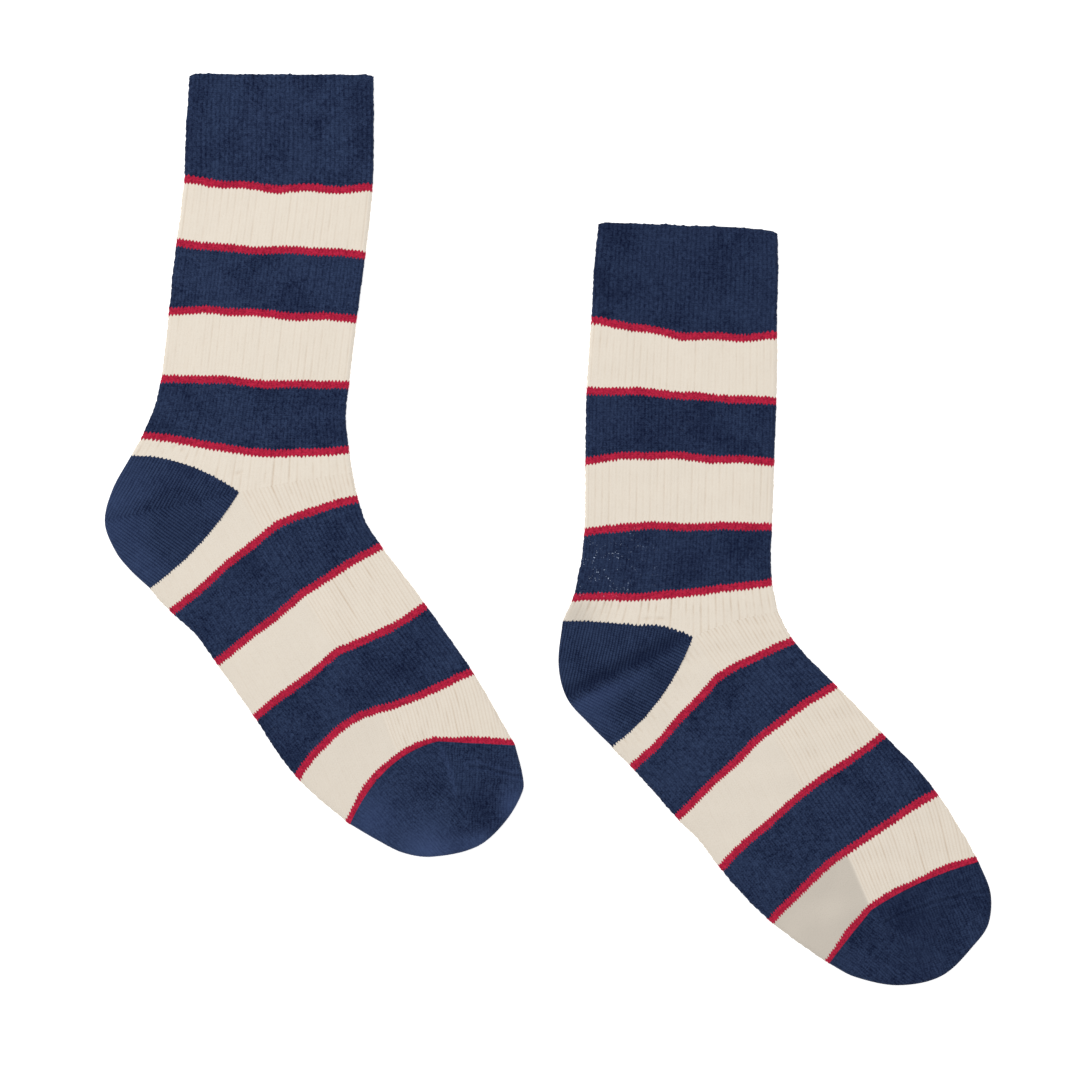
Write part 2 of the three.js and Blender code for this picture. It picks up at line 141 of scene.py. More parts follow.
SOCK_A = {
    "name": "sock_a",
    "place": (-142.19, 17.23),
    "pucker": 0.3,
    "ribs_past_corner": 0,
    "rib_edge": (0.537, 0.54, 0.54, 0.54, 0.515, 0.515, 0.4),
    "line_wander": {1: 0.5},
    "grey_bands": {5: 0.1, 7: 0.12, 9: 0.22},
    "shade": {"heel": 0.1},
    "fold": 0.2,
    "creases": ((-30.8, 20.7, -26.2, 22.5), (-26.2, 18.8, -22.1, 22.3), (-0.9, 8.3, 1.8, 9.6)),
    "leg_grey": (),
    "heel_rise": (0.5, 0.1, 0.0),
    "heel_pale": ((-60.0, -6.0, 20.0, 0.45), (-45.0, -34.0, 14.0, 0.35), (-30.0, -17.0, 13.0, -0.6)),
    "lint": (),
    "toe_pale": ((88.0, -168.0, 14.0, 1.0), (112.0, -163.0, 9.0, 0.8), (127.0, -145.0, 9.0, 0.9),
                 (60.0, -150.0, 13.0, 0.7), (110.0, -145.0, 12.0, -0.5)),
    "leg": (
        ("mouth", -23.0, 192.5, 61.5, 192.0, 0.5, 0, 0, 0, 1.8),
        ("cuff middle", -24.5, 166.5, 62.0, 166.0, 0.5, 0, 0, 0, 1.8),
        ("cuff end", -25.0, 145.0, 61.5, 141.5, 0.5, -1.0, -2.0, -1.5, 1.6),
        ("second line", -29.0, 114.5, 58.0, 109.0, 0.5, -0.5, -0.5, 0.5, 1.5),
        ("third line", -32.5, 83.5, 54.0, 79.5, 0.5, 1.0, 0.5, 0.5, 1.5),
        ("fourth line", -36.0, 52.5, 50.5, 49.5, 0.5, 0, -0.5, -0.5, 1.5),
        ("ankle", -39.0, 39.5, 49.0, 35.0, 0.5, -0.5, -2.5, -1.5, 1.5),
        ("fifth line", -44.5, 26.5, 50.5, 20.0, 0.5, -2.0, -4.6, -3.5, 1.6),
        ("heel start", -50.0, 16.5, 52.0, 9.0, 0.5, -2.0, -13.0, -6.0, 1.7),
    ),
    "foot": (
        ("heel end", -41.0, -44.5, 52.0, 9.0, 0.537, 6.0, 17.9, 9.4, 1.7),
        ("sixth line", -31.0, -55.5, 54.5, -3.5, 0.55, 4.5, 8.5, 7.0, 1.6),
        ("sole dip", -20.0, -65.6, 58.0, -13.8, 0.55, 2.5, 4.6, 4.0, 1.5),
        ("seventh line", -10.5, -78.5, 65.0, -24.5, 0.54, 1.0, 2.5, 1.5, 1.5),
        ("eighth line", 7.0, -104.0, 86.0, -52.5, 0.52, 2.2, 4.7, 1.0, 1.5),
        ("ninth line", 27.0, -132.0, 107.5, -83.0, 0.58, 9.3, 6.2, 2.8, 1.5),
        ("toe start", 51.0, -153.0, 127.0, -116.5, 0.63, 15.5, 17.0, 8.5, 1.7),
    ),
    "heel_edge": ((-58.5, 1.0), (-62.0, -14.0), (-57.0, -27.4), (-50.0, -36.2)),
    "toe_edge": ((62.9, -160.0), (75.5, -166.2), (89.0, -168.0), (109.5, -163.3), (122.5, -151.8),
                 (130.6, -137.5), (130.4, -130.0)),
    "toe_seam": ((106.0, -126.0), (113.0, -126.8), (122.5, -129.4), (131.0, -131.2)),
    "toe_gore": ((93.0, -118.0), (97.0, -127.5), (100.0, -140.0)),
}

SOCK_B = {
    "name": "sock_b",
    "place": (66.21, -49.27),
    "pucker": 1.0,
    "ribs_past_corner": 3,
    "rib_edge": (0.616, 0.62, 0.61, 0.575, 0.535, 0.48, 0.36),
    "line_wander": {1: 0.4},
    "grey_bands": {5: 0.1, 7: 0.15, 9: 1.0},
    "shade": {"cuff": -0.3, "leg": -0.24, "heel": -0.14, "toe": -0.4},
    "fold": 1.0,
    "creases": ((-24.4, 8.3, -11.0, 8.1), (-48.0, 12.0, -46.5, 16.5), (-39.5, 11.0, -38.5, 15.0)),
    "leg_grey": ((-54.0, 10.0, 10.0, 0.7),),
    "heel_rise": (0.46, 0.11, 1.9),
    "heel_pale": ((-44.0, -35.0, 15.0, 0.5), (-12.0, -17.0, 9.0, -0.5), (-28.0, -34.0, 7.0, -0.3)),
    "lint": ((-41.0, 34.0, 15.0, 0.9), (-46.0, 14.0, 8.0, 0.4)),
    "toe_pale": ((78.0, -146.0, 14.0, 0.35), (128.0, -136.0, 12.0, 0.3), (99.0, -129.0, 13.0, -0.5)),
    "leg": (
        ("mouth", -43.0, 190.5, 39.0, 186.5, 0.5, 0.5, 0.5, 1.0, 1.8),
        ("cuff middle", -45.0, 168.5, 39.5, 166.5, 0.5, 0, 0, 0, 1.8),
        ("cuff end", -46.0, 147.0, 39.0, 140.0, 0.5, -1.5, -3.5, -2.5, 1.6),
        ("second line", -48.5, 112.5, 39.0, 108.5, 0.5, 1.5, 0.5, 0, 1.5),
        ("third line", -49.0, 81.0, 38.0, 80.0, 0.5, 2.5, 2.5, 1.5, 1.5),
        ("fourth line", -49.5, 48.5, 37.0, 50.5, 0.5, 1.5, 1.5, 1.0, 1.5),
        ("ankle", -51.0, 34.0, 36.5, 38.0, 0.5, -0.5, -0.5, 0, 1.5),
        ("fifth line", -54.5, 18.5, 37.0, 25.5, 0.5, -2.0, -2.5, -1.5, 1.6),
        ("heel start", -59.5, 7.0, 39.5, 11.5, 0.6, -3.0, -10.0, -3.5, 1.7),
    ),
    "foot": (
        ("heel end", -37.0, -50.5, 39.5, 11.5, 0.616, 3.0, 15.5, 9.2, 1.7),
        ("sixth line", -27.5, -60.5, 46.5, -2.0, 0.58, 3.5, 8.0, 5.5, 1.6),
        ("seventh line", -7.0, -83.5, 66.0, -22.0, 0.54, 2.0, 3.5, 2.5, 1.5),
        ("sole dip", 3.8, -94.4, 76.9, -33.3, 0.55, 2.0, 2.9, 1.7, 1.5),
        ("eighth line", 13.0, -107.0, 88.5, -45.5, 0.56, 2.5, 3.0, 1.5, 1.5),
        ("ninth line", 36.5, -131.5, 113.0, -72.0, 0.51, 3.9, 4.5, 3.0, 1.5),
        ("toe start", 63.0, -150.5, 132.0, -103.5, 0.36, 5.0, 9.5, 7.0, 1.7),
    ),
    "heel_edge": ((-61.4, -13.0), (-57.5, -28.5), (-46.4, -41.2)),
    "toe_edge": ((75.0, -156.8), (95.5, -160.7), (115.5, -156.1), (131.0, -141.0), (136.8, -132.0),
                 (137.6, -118.0)),
    "toe_seam": ((88.0, -132.0), (92.0, -129.5), (109.0, -123.0), (129.0, -118.0), (137.0, -117.0)),
    "toe_gore": ((80.0, -123.5), (85.0, -131.0), (94.0, -136.5), (104.0, -141.5)),
}

# The material slot of each part
SLOTS = {"cuff": "cuff_rib", "leg": "leg_rib", "heel": "heel_plain", "foot": "foot_knit", "toe": "toe_plain"}

# Which red line lies on a course of each tube, and how far past the course its centre is
LEG_LINES = {"cuff end": (1, 1.7), "second line": (2, 0.1), "third line": (3, 0.2),
             "fourth line": (4, 0.2), "fifth line": (5, 0.25)}
FOOT_LINES = {"sixth line": (6, 0), "seventh line": (7, 0), "eighth line": (8, 0),
              "ninth line": (9, 0), "toe start": (10, -1.1)}


# Camera

def add_camera():
    data = bpy.data.cameras.new("camera")
    data.lens = LENS
    data.sensor_width = SENSOR
    camera = bpy.data.objects.new("camera", data)
    bpy.context.collection.objects.link(camera)
    height = CLOTH_TOP + VIEW_WIDTH * LENS / SENSOR
    camera.location = (VIEW_CENTRE[0] * MM, VIEW_CENTRE[1] * MM, height * MM)
    bpy.context.scene.camera = camera


# Smooth unevenness

def soft_noise(x, y, seed, waves=7):
    """A smooth field of about -1 to 1 with features about one unit wide."""
    rng = np.random.default_rng(seed)
    total = np.zeros(np.broadcast(x, y).shape)
    for _ in range(waves):
        angle = rng.uniform(0, math.tau)
        pitch = rng.uniform(0.6, 1.5) * math.pi
        phase = rng.uniform(0, math.tau)
        total = total + np.sin(pitch * (x * math.cos(angle) + y * math.sin(angle)) + phase)
    return total / math.sqrt(waves)


def smoothstep(low, high, x):
    t = np.clip((x - low) / (high - low), 0, 1)
    return t * t * (3 - 2 * t)


def bell(x, width):
    return np.exp(-((x / width) ** 2))


# Courses

def parabola(s, half, full):
    return s * (4 * half - full) + s * s * (2 * full - 4 * half)


def smooth_along(knots, values, at):
    """A smooth curve through values at unevenly spaced knots."""
    slopes = np.empty(len(knots))
    for i in range(len(knots)):
        low = max(0, i - 1)
        high = min(len(knots) - 1, i + 1)
        slopes[i] = (values[high] - values[low]) / (knots[high] - knots[low])
    k = np.clip(np.searchsorted(knots, at, side="left") - 1, 0, len(knots) - 2)
    span = knots[k + 1] - knots[k]
    t = (at - knots[k]) / span
    stay = 2 * t ** 3 - 3 * t ** 2 + 1
    leave = t ** 3 - 2 * t ** 2 + t
    arrive = t ** 3 - t ** 2
    return (stay * values[k] + (1 - stay) * values[k + 1]
            + span * (leave * slopes[k] + arrive * slopes[k + 1]))


class Tube:
    """The plan of a flattened tube: running length t down it, share u across it."""

    def __init__(self, rows):
        self.names = [row[0] for row in rows]
        self.values = np.array([row[1:] for row in rows], dtype=float)
        on_split = [self._plan(course, course[SPLIT]) for course in self.values]
        steps = np.linalg.norm(np.diff(on_split, axis=0), axis=1)
        self.knots = np.concatenate([[0.0], np.cumsum(steps)])

    @staticmethod
    def _plan(fields, u):
        back_x, back_y, front_x, front_y, split, bow_back, bow_split, bow_front = (
            fields[..., k] for k in range(WALL))
        chord_x = front_x - back_x
        chord_y = front_y - back_y
        width = np.hypot(chord_x, chord_y)
        rise = np.where(
            u < split,
            parabola(u / split, bow_back, bow_split),
            parabola((1 - u) / (1 - split), bow_front, bow_split),
        )
        x = back_x + chord_x * u - chord_y / width * rise
        y = back_y + chord_y * u + chord_x / width * rise
        return np.stack(np.broadcast_arrays(x, y), axis=-1)

    def at(self, name):
        return self.knots[self.names.index(name)]

    def fields(self, t):
        t = np.asarray(t, dtype=float)
        columns = [smooth_along(self.knots, column, t) for column in self.values.T]
        return np.stack(columns, axis=-1)

    def split(self, t):
        return self.fields(t)[..., SPLIT]

    def wall(self, t):
        return self.fields(t)[..., WALL]

    def width(self, t):
        back_x, back_y, front_x, front_y = (self.fields(t)[..., k] for k in range(SPLIT))
        return np.hypot(front_x - back_x, front_y - back_y)

    def point(self, t, u):
        return self._plan(self.fields(t), u)


def band_coordinate(sock, tube, lines, t, u):
    """Ten for each red line passed, and true millimetres from a line within LINE_REACH of it."""
    marks = sorted((number, tube.at(name) + past) for name, (number, past) in lines.items())
    here = tube.point(t, u)
    signed = []
    for number, at in marks:
        on_line = np.full_like(t, at)
        run = tube.point(on_line, u + 0.004) - tube.point(on_line, u - 0.004)
        run = run / np.linalg.norm(run, axis=-1, keepdims=True)
        away = here - tube.point(on_line, u)
        far = sock["line_wander"].get(number, LINE_WANDER)
        wander = far * soft_noise(u * 9.0, 0 * u + number * 3.7, WANDER_SEED)
        signed.append(away[..., 0] * run[..., 1] - away[..., 1] * run[..., 0] + wander)
    first = marks[0][0]
    last = marks[-1][0]
    band = np.full(t.shape, first * BAND_STEP - LINE_REACH)
    for k, (number, _) in enumerate(marks):
        near = np.clip(signed[k], -LINE_REACH, LINE_REACH)
        band = np.where(signed[k] > -LINE_REACH, number * BAND_STEP + near, band)
        if k + 1 < len(marks):
            past = signed[k] - LINE_REACH
            left = -signed[k + 1] - LINE_REACH
            share = np.clip(past / np.maximum(past + left, 0.01), 0, 1)
            between = number * BAND_STEP + LINE_REACH + share * (BAND_STEP - 2 * LINE_REACH)
            band = np.where((past > 0) & (left > 0), between, band)
    return np.where(signed[-1] > LINE_REACH, last * BAND_STEP + LINE_REACH, band)


# Meshes

class Piece:
    """Points, faces and knit fields of one closed shell."""

    # pale carries the yarn's tone by part and, on the heels and toes, painted highlight and painted shade;
    # furrow carries painted shade in the furrows, creases, gathers, mitre and toe seam
    FIELDS = ("band", "wale", "course", "furrow", "grey", "lint", "edge", "pale")

    def __init__(self):
        self.points = []
        self.faces = []
        self.creases = []
        self.fields = {name: [] for name in self.FIELDS}
        self.count = 0

    def add(self, points, **fields):
        flat = points.reshape(-1, 3)
        self.points.append(flat)
        for name in self.FIELDS:
            value = np.broadcast_to(fields.get(name, 0.0), points.shape[:-1])
            self.fields[name].append(np.ascontiguousarray(value).reshape(-1))
        index = np.arange(self.count, self.count + len(flat)).reshape(points.shape[:-1])
        self.count += len(flat)
        return index

    def quads(self, a, b, c, d, flip=False):
        order = (a, d, c, b) if flip else (a, b, c, d)
        self.faces.append(np.stack([np.asarray(x).reshape(-1) for x in order], axis=-1))

    def grid_faces(self, grid, flip=False):
        self.quads(grid[:-1, :-1], grid[:-1, 1:], grid[1:, 1:], grid[1:, :-1], flip)

    def tube_faces(self, grid, flip=False):
        after = np.roll(grid, -1, axis=1)
        self.quads(grid[:-1], grid[1:], after[1:], after[:-1], flip)

    def crease(self, line):
        """Keeps the edges along a line of points sharp."""
        self.creases.append(np.stack([line[:-1], line[1:]], axis=-1))

    def crease_ring(self, ring):
        self.crease(np.append(ring, ring[0]))

    def fan(self, ring, tip, flip=False):
        tips = np.full(ring.shape, tip)
        self.quads(ring, tips, tips, np.roll(ring, -1), flip)

    def rim(self, outer, outer_along, inner, inner_along, flip=False):
        """Joins two rings of different counts, each with its rising place along the ring."""
        end = outer_along[0] + UNITS_ROUND
        i = 0
        j = 0
        faces = []
        while i < len(outer) or j < len(inner):
            next_outer = outer_along[i + 1] if i + 1 < len(outer) else end
            next_inner = inner_along[j + 1] if j + 1 < len(inner) else end
            if i < len(outer) and (j >= len(inner) or next_outer <= next_inner):
                face = (outer[i % len(outer)], outer[(i + 1) % len(outer)], inner[j % len(inner)])
                i += 1
            else:
                face = (outer[i % len(outer)], inner[(j + 1) % len(inner)], inner[j % len(inner)])
                j += 1
            faces.append(face[::-1] if flip else face)
        triangles = np.array(faces)
        self.faces.append(np.concatenate([triangles, triangles[:, 2:]], axis=1))

    def build(self, name, place, material, shade):
        points = np.concatenate(self.points)
        points[:, 0] += place[0]
        points[:, 1] += place[1]
        quads = np.concatenate(self.faces)
        used = np.unique(quads)
        renumber = np.zeros(len(points), dtype=int)
        renumber[used] = np.arange(len(used))
        corners = [tuple(dict.fromkeys(face)) for face in renumber[quads].tolist()]
        corners = [face for face in corners if len(face) > 2]
        mesh = bpy.data.meshes.new(name)
        mesh.from_pydata((points[used] * MM).tolist(), [], corners)
        for field, parts in self.fields.items():
            values = np.concatenate(parts)[used] + (shade if field == "pale" else 0.0)
            layer = mesh.attributes.new(field, "FLOAT", "POINT")
            layer.data.foreach_set("value", values.astype(np.float32))
        mesh.update()
        mesh.shade_smooth()
        self.sharpen(mesh, renumber)
        mesh.materials.append(material)
        piece = bpy.data.objects.new(name, mesh)
        bpy.context.collection.objects.link(piece)
        return piece

    def sharpen(self, mesh, renumber):
        ends = np.zeros(len(mesh.edges) * 2, dtype=np.int64)
        mesh.edges.foreach_get("vertices", ends)
        ends = np.sort(ends.reshape(-1, 2), axis=1)
        kept = np.sort(renumber[np.concatenate(self.creases)], axis=1)
        reach = len(mesh.vertices)
        sharp = np.isin(ends[:, 0] * reach + ends[:, 1], kept[:, 0] * reach + kept[:, 1])
        layer = mesh.attributes.new("sharp_edge", "BOOLEAN", "EDGE")
        layer.data.foreach_set("value", sharp)


# Relief of the knitting, as heights off the plain face

def rib_relief(ribs, run, depth, faintest, seed):
    """Rounded wales in pairs, with an uneven furrow between the pairs and a finer groove inside each."""
    phase = ribs - np.floor(ribs)
    near = np.minimum(phase, 1 - phase)
    strength = 0.55 + 0.4 * soft_noise(np.round(ribs) * 1.7, run / 30.0, seed)
    strength = strength + 0.35 * soft_noise(np.round(ribs) * 2.3, run / 6.0, seed + 1)
    furrow = bell(near, 0.11) * np.clip(strength, faintest, 1.3)
    groove = bell(phase - 0.5, 0.09)
    return -depth * furrow - WALE_GROOVE * groove, furrow, groove


def cuff_relief(ribs, t, seed):
    phase = ribs - np.floor(ribs)
    near = np.minimum(phase, 1 - phase)
    strength = 0.6 + 0.4 * soft_noise(np.round(ribs) * 1.3, t / 22.0, seed)
    furrow = bell(near, 0.2) * np.clip(strength, 0.15, 1.1)
    return -CUFF_FURROW * furrow, furrow


def slow_waves(plan, seed):
    """The slight rise and fall of cloth that lies loose."""
    return (0.22 * soft_noise(plan[..., 0] / 19.0, plan[..., 1] / 26.0, seed)
            + 0.1 * soft_noise(plan[..., 0] / 7.0, plan[..., 1] / 9.0, seed + 1))


# Shells round a tube

def ring_profile(width, wall, radius, units, anchor, rib_share):
    """A flattened ring's points by their place in units round it, with normals and which face they are on.

    anchor is where unit 0 lies across the face. rib_share scales the units past it, up to half way round.
    """
    half = wall + SLIT / 2
    quarter = radius * math.pi / 2
    girth = 2 * (width - 2 * half) + 4 * quarter
    start = quarter + anchor * width - half
    half_round = UNITS_ROUND / 2
    ribbed = np.clip(units, 0, half_round) * rib_share
    plain = (units - np.clip(units, 0, half_round)) * (2 - rib_share)
    along = np.mod(start + (ribbed + plain) * girth / UNITS_ROUND, girth)
    top = along <= girth / 2
    run = np.where(top, along, girth - along)
    from_back = np.clip(run / radius, 0, math.pi / 2)
    from_front = np.clip((girth / 2 - run) / radius, 0, math.pi / 2)
    angle = np.minimum(from_back, from_front)
    at_back = run < girth / 4
    flat_x = np.clip(half + run - quarter, half, width - half)
    side = np.where(at_back, -np.cos(angle), np.cos(angle))
    up = np.where(top, np.sin(angle), -np.sin(angle))
    return flat_x + radius * side, radius * up, side, up, top


def units_range(low, high, per_unit):
    return np.arange(round(low * per_unit), round(high * per_unit)) / per_unit


def tube_shell(tube, start, end, rim, units, anchor, rib_share, dress):
    """A closed double-walled shell round a tube, from one running length to another."""
    piece = Piece()

    def rings(t, stations, inner):
        t = t[:, None]
        wall = tube.wall(t)
        width = tube.width(t)
        radius = np.full_like(wall, SLIT / 2) if inner else wall + SLIT / 2
        r = np.broadcast_to(stations[None, :], (len(t), len(stations)))
        x, z, side, up, top = ring_profile(width, wall, radius, r, anchor(t), rib_share)
        t_grid = np.broadcast_to(t, x.shape)
        u = x / width
        plan = tube.point(t_grid, u)
        fields, relief, push = dress(t_grid, u, r, plan, top)
        if not inner:
            relief = np.where(top, relief, np.minimum(relief, 0) * UNDERSIDE_SHARE)
            fuzz = EDGE_FUZZ * soft_noise(t_grid / 0.9, np.sign(side), FUZZ_SEED)
            relief = relief + side ** 2 * (EDGE_SWELL + fuzz)
            u = u + relief * side / width
            z = z + relief * up
            plan = tube.point(t_grid, u) + push
            if rim:
                into = np.clip((t_grid - start) / RIM_ROUNDING, 0, 1)
                z = z * (RIM_SQUEEZE + (1 - RIM_SQUEEZE) * np.sqrt(1 - (1 - into) ** 2))
        height = wall + SLIT / 2 + z
        return piece.add(np.concatenate([plan, height[..., None]], axis=-1), **fields)

    rows = int(round((end - start) / ROW_STEP))
    t_outer = np.linspace(start, end, rows + 1)
    if rim:
        lip = start + RIM_ROUNDING * np.array([0.0, 0.1, 0.3, 0.6])
        t_outer = np.concatenate([lip, t_outer[t_outer > start + RIM_ROUNDING]])
    t_inner = np.linspace(start, end, int(round((end - start) / INNER_ROW_STEP)) + 1)
    inner_units = units_range(units[0], units[0] + UNITS_ROUND, INNER_STATIONS_PER_UNIT)
    outer = rings(t_outer, units, False)
    inner = rings(t_inner, inner_units, True)
    piece.tube_faces(outer)
    piece.tube_faces(inner, flip=True)
    piece.rim(outer[0], units, inner[0], inner_units)
    piece.rim(outer[-1], units, inner[-1], inner_units, flip=True)
    piece.crease_ring(outer[-1])
    if not rim:
        piece.crease_ring(outer[0])
    return piece


def polyline_distance(points, line):
    nearest = np.full(points.shape[:-1], np.inf)
    for k in range(len(line) - 1):
        along = line[k + 1] - line[k]
        share = np.clip(((points - line[k]) @ along) / (along @ along), 0, 1)
        away = np.linalg.norm(points - line[k] - share[..., None] * along, axis=-1)
        nearest = np.minimum(nearest, away)
    return nearest


def crease_marks(sock, plan):
    """The short creases round a heel, where the turned cloth bunches up: 1 along each of them."""
    marks = np.zeros(plan.shape[:-1])
    for row in sock["creases"]:
        line = np.array(row).reshape(2, 2)
        marks = np.maximum(marks, bell(polyline_distance(plan, line), CREASE_WIDTH))
    uneven = soft_noise(plan[..., 0] / 2.5, plan[..., 1] / 2.5, CREASE_SEED)
    return marks * (0.6 + 0.4 * uneven)


def no_push(plan):
    return np.zeros(plan.shape)


def seed_of(sock, base):
    return base if sock["name"] == "sock_a" else base + 1


def cuff_piece(sock, tube, materials):
    start = tube.at("mouth")
    end = tube.at("cuff end")
    seed = seed_of(sock, 21)
    units = np.concatenate([units_range(-14.6, 14.6, 9), units_range(14.6, 41.4, 4.5)])

    def dress(t, u, r, plan, top):
        ribs = r * CUFF_RIBS_PER_UNIT
        relief, furrow = cuff_relief(ribs, t, seed)
        edge = np.minimum(u, 1 - u) * tube.width(t)
        scallop = 0.1 * np.cos(math.tau * ribs) + 0.22 * soft_noise(u * 12, 0 * t, seed + 3)
        scallop = scallop + 0.2 * soft_noise(u * 45, 0 * t, seed + 4)
        corner = -MOUTH_CORNER_DROP * bell(edge, 1.8)
        push = no_push(plan)
        push[..., 1] = scallop * bell(t - start, 1.5) + corner * bell(t - start, 4.0)
        fields = {
            "band": band_coordinate(sock, tube, {"cuff end": LEG_LINES["cuff end"]}, t, u),
            "wale": ribs,
            "course": t / COURSE_HEIGHT,
            # The furrow field paints shade along the rib furrows
            "furrow": furrow * CUFF_LINE_SHARE,
        }
        return fields, relief + slow_waves(plan, seed_of(sock, 31)), push

    piece = tube_shell(tube, start, end, True, units, lambda t: 0.5, 1.0, dress)
    return finish_piece(sock, "cuff", piece, materials)


def leg_piece(sock, tube, materials):
    start = tube.at("cuff end")
    end = tube.at("heel start")
    seed = seed_of(sock, 31)
    units = np.concatenate([units_range(-17.5, 15.5, 8), units_range(15.5, 38.5, 4)])
    centre = tube.split(np.array(end)) - sock["ribs_past_corner"] / (UNITS_ROUND / 2)

    def dress(t, u, r, plan, top):
        near_heel = bell(t - tube.at("fifth line") - 5.0, 6.0) * smoothstep(0.75, 0.35, u)
        depth = LEG_FURROW * (1 + 1.6 * sock["pucker"] * near_heel)
        relief, furrow, _ = rib_relief(r, t, depth, FAINT_LEG_FURROW, seed)
        marks = crease_marks(sock, plan) * top
        line_strength = 0.85 + 0.8 * smoothstep(-6.0, 6.0, t - tube.at("fifth line"))
        to_heel = np.linalg.norm(tube.point(np.full_like(t, end), u) - plan, axis=-1)
        rise_at, rise_width, rise = sock["heel_rise"]
        to_heel = to_heel - rise * bell(u - rise_at, rise_width)
        lines = line_strength * furrow * (1 + sock["pucker"] * near_heel)
        fields = {
            "band": band_coordinate(sock, tube, LEG_LINES, t, u),
            "wale": r * 2,
            "course": t / COURSE_HEIGHT,
            # The furrow field paints shade along the rib furrows and the creases, stronger towards the heel
            # where the cloth gathers
            "furrow": np.clip(lines + marks, 0, 2.4),
            "grey": pale_patches(plan, sock["leg_grey"]),
            "lint": lint_patches(sock, plan),
            "edge": np.where(u < tube.split(t), np.clip(EDGE_REACH - to_heel, 0, 2 * EDGE_REACH), 0),
        }
        return fields, relief - CREASE_DEPTH * marks + slow_waves(plan, seed), no_push(plan)

    piece = tube_shell(tube, start, end, False, units, lambda t: centre, 1.0, dress)
    return finish_piece(sock, "leg", piece, materials)


def foot_piece(sock, leg, tube, materials):
    start = tube.at("heel end")
    end = tube.at("toe start")
    leg_end = leg.at("heel start")
    seed = seed_of(sock, 31)
    units = np.concatenate([
        units_range(-18, 0, 4), units_range(0, 17.5, 8),
        units_range(17.5, 28, 4), units_range(28, 38, 2),
    ])
    leg_ribs = (1 - leg.split(leg_end)) * UNITS_ROUND / 2
    foot_ribs = (1 - tube.split(start)) * UNITS_ROUND / 2
    rib_share = float(foot_ribs / leg_ribs)

    def rib_edge(t):
        return smooth_along(tube.knots, np.array(sock["rib_edge"]), t)

    def dress(t, u, r, plan, top):
        ribs = np.where(r > UNITS_ROUND / 2, r - UNITS_ROUND, r)
        on_rib = smoothstep(-0.1, 0.25, ribs)
        from_leg = np.maximum(ribs, 0) + sock["ribs_past_corner"]
        relief, furrow, groove = rib_relief(from_leg, t + leg_end, LEG_FURROW, FAINT_FOOT_FURROW, seed)
        sole_wales = (u - rib_edge(t)) * tube.width(t) / SOLE_WALE
        band = band_coordinate(sock, tube, FOOT_LINES, t, u)
        to_heel = np.linalg.norm(tube.point(np.full_like(t, start), u) - plan, axis=-1)
        puckers = np.where(u < rib_edge(t), heel_puckers(sock, sole_wales, to_heel), 0.0)
        fields = {
            "band": band,
            "wale": np.where(ribs > 0, ribs * 2, sole_wales),
            "course": t / COURSE_HEIGHT,
            # The furrow field paints shade in the rib furrows, the grooves inside the ribs and the gathers
            # under the heel
            "furrow": (2.2 * furrow + 1.2 * groove) * on_rib + 1.5 * puckers,
            "grey": sole_grey(sock, band, ribs, plan),
            "lint": lint_patches(sock, plan),
            "edge": np.where(u < tube.split(t), np.clip(EDGE_REACH - to_heel, 0, EDGE_REACH), 0),
        }
        return fields, relief * on_rib - PUCKER_DEPTH * puckers + slow_waves(plan, seed), no_push(plan)

    piece = tube_shell(tube, start - SEAM_LAP, end, False, units, rib_edge, rib_share, dress)
    return finish_piece(sock, "foot", piece, materials)


def heel_puckers(sock, wales, to_heel):
    """Short gathers of the sole under the heel patch, dying out down the foot."""
    gathers = wales / WALES_PER_PUCKER
    near = np.abs(gathers - np.round(gathers))
    uneven = soft_noise(np.round(gathers) * 1.9, to_heel / 6.0, PUCKER_SEED)
    uneven = np.clip(0.6 + 0.5 * uneven, 0, 1)
    return sock["pucker"] * bell(near, 0.16) * smoothstep(11.0, 2.0, to_heel) * uneven


def sole_grey(sock, band, ribs, plan):
    """The sole's cream yarn is a little greyer than the ribs beside it."""
    amount = np.zeros(band.shape)
    for number, strength in sock["grey_bands"].items():
        inside = (band > number * BAND_STEP) & (band < (number + 1) * BAND_STEP)
        amount = np.where(inside, strength, amount)
    patches = 0.94 + 0.08 * soft_noise(plan[..., 0] / 11, plan[..., 1] / 11, SOLE_SEED)
    return np.clip(amount * patches * smoothstep(0.35, -0.15, ribs), 0, 1)


def lint_patches(sock, plan):
    """Where loose fibres have settled: above the right sock's heel, and hardly anywhere else."""
    return np.clip(soft_patches(plan, sock["lint"], LINT_EVERYWHERE), 0, 1)


def pale_patches(plan, patches):
    """Soft patches: greyer cream on the leg, and on the heels and toes painted highlight where the cloth
    catches the light and painted shade where it turns from it.
    """
    return np.clip(soft_patches(plan, patches, 0.0), -1, 1)


def soft_patches(plan, patches, start):
    amount = np.full(plan.shape[:-1], start)
    for x, y, reach, strength in patches:
        away = np.linalg.norm(plan - np.array([x, y]), axis=-1)
        amount = amount + strength * bell(away, reach)
    return amount


# Heel and toe pockets

def curve_through(points, samples):
    """Evenly spaced points on a smooth curve through a few given ones."""
    points = np.asarray(points, dtype=float)

    def lengths(line):
        return np.concatenate([[0.0], np.cumsum(np.linalg.norm(np.diff(line, axis=0), axis=1))])

    knots = lengths(points)
    at = np.linspace(0, knots[-1], 4 * samples)
    fine = np.stack([smooth_along(knots, column, at) for column in points.T], axis=-1)
    run = lengths(fine)
    even = np.linspace(0, run[-1], samples)
    return np.stack([np.interp(even, run, column) for column in fine.T], axis=-1)


